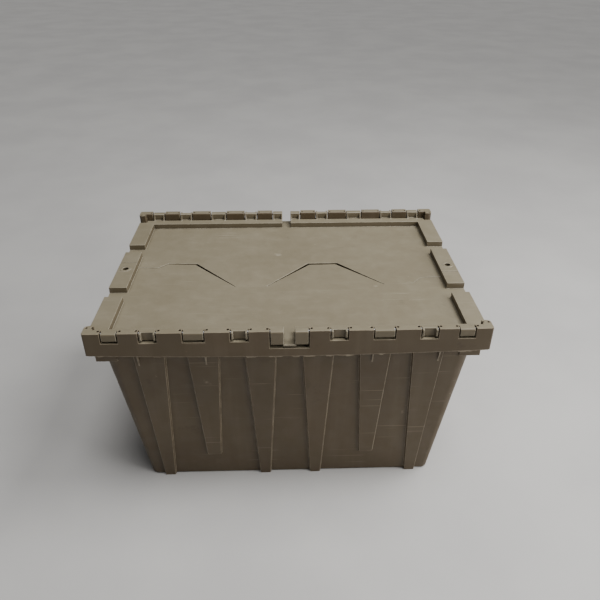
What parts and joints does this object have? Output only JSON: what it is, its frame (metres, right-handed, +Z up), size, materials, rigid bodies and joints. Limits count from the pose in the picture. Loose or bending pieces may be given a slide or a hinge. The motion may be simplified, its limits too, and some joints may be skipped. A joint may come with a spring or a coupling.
{
  "type": "attached lid tote",
  "caption": "Tapered nestable plastic tote with two half lids that meet along a zigzag seam and hinge outwards on rods in the long rims.",
  "frame": {"origin": "centre of the base, on the floor", "axes": "+X along the long side to the right, +Y to the back hinge rim, +Z up"},
  "size_m": [0.714, 0.523, 0.396],
  "materials": {
    "tub_plastic": "warm grey moulded polyethylene, fine grain, scuffed",
    "lid_plastic": "warm grey moulded polyethylene, fine grain, worn on top",
    "rod_steel": "drawn steel wire"
  },
  "bodies": {
    "tub": {"tub_floor": "tub_plastic", "tub_front_wall": "tub_plastic", "tub_back_wall": "tub_plastic", "tub_left_wall": "tub_plastic", "tub_right_wall": "tub_plastic", "front_hinge_rim": "tub_plastic", "back_hinge_rim": "tub_plastic", "left_handle_rim": "tub_plastic", "right_handle_rim": "tub_plastic", "hinge_rod_front_left": "rod_steel", "hinge_rod_front_right": "rod_steel", "hinge_rod_back_left": "rod_steel", "hinge_rod_back_right": "rod_steel"},
    "lid_front": {"front_lid_panel": "lid_plastic", "front_lid_border": "lid_plastic", "front_lid_left_end": "lid_plastic", "front_lid_right_end": "lid_plastic"},
    "lid_back": {"back_lid_panel": "lid_plastic", "back_lid_border": "lid_plastic", "back_lid_left_end": "lid_plastic", "back_lid_right_end": "lid_plastic"}
  },
  "joints": [
    {"name": "front_lid_hinge", "type": "hinge", "parent": "tub", "child": "lid_front", "pos_m": [0, -0.252, 0.39], "axis": [1, 0, 0], "range_deg": [0, 270]},
    {"name": "back_lid_hinge", "type": "hinge", "parent": "tub", "child": "lid_back", "pos_m": [0, 0.252, 0.39], "axis": [-1, 0, 0], "range_deg": [0, 270]}
  ]
}
